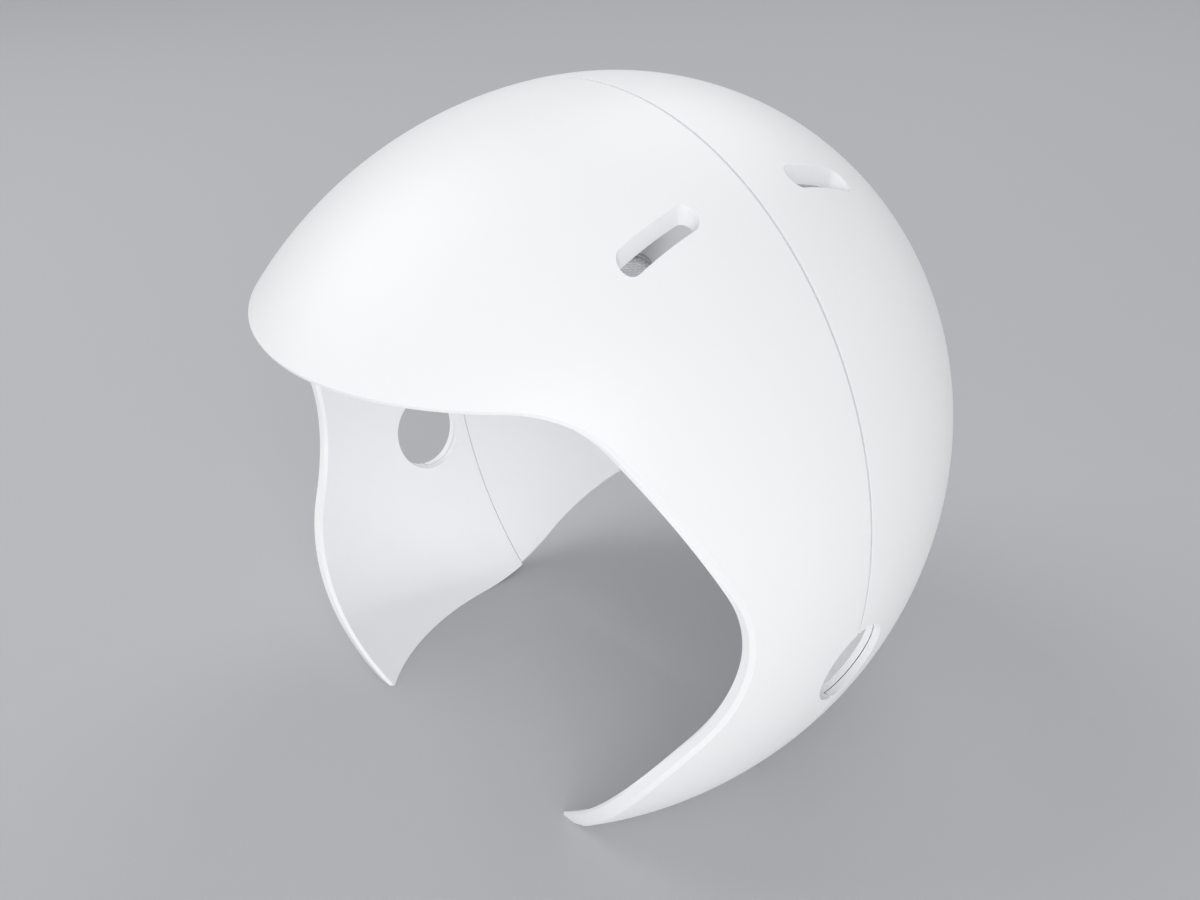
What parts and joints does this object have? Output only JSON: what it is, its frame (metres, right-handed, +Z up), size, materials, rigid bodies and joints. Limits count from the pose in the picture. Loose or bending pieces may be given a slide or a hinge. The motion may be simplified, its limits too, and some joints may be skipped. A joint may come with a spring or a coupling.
{
  "type": "football helmet",
  "caption": "Open-face sport helmet of two overlapping domed shells that slide apart for size, with ear holes, vent slots and pads fastened inside.",
  "frame": {"origin": "middle of the footprint, on the surface that the cheek bottoms stand on, with the size slide closed", "axes": "+Z up to the crown, -Y out of the face opening, +X to the right ear as seen in the picture"},
  "size_m": [0.23, 0.2558, 0.2277],
  "materials": {
    "shell": "satin white moulded plastic",
    "foam": "pale grey closed-cell foam with a fine cell texture",
    "cushion_fabric": "pale grey knitted lining with sewn edges",
    "hook_tape": "moulded hook tape",
    "steel": "brushed stainless",
    "brass": "turned"
  },
  "bodies": {
    "front": {"front_shell": "shell", "brow_foam": "foam", "brow_cushion": "cushion_fabric", "front_crown_foam": "foam", "front_crown_cushion": "cushion_fabric", "left_temple_foam": "foam", "left_temple_cushion": "cushion_fabric", "right_temple_foam": "foam", "right_temple_cushion": "cushion_fabric", "front_hook_discs": "hook_tape", "clamp_screws": "steel", "clamp_washers": "steel", "front_inserts": "brass"},
    "rear": {"rear_shell": "shell", "rear_crown_foam": "foam", "rear_crown_cushion": "cushion_fabric", "left_side_foam": "foam", "left_side_cushion": "cushion_fabric", "right_side_foam": "foam", "right_side_cushion": "cushion_fabric", "nape_foam": "foam", "nape_cushion": "cushion_fabric", "rear_hook_discs": "hook_tape", "left_slide_plate": "steel", "right_slide_plate": "steel", "crown_slide_plate": "steel", "plate_screws": "steel", "rear_inserts": "brass"}
  },
  "joints": [
    {"name": "size_slide", "type": "slide", "parent": "front", "child": "rear", "axis": [0, 1, 0], "range_m": [0, 0.012]}
  ]
}
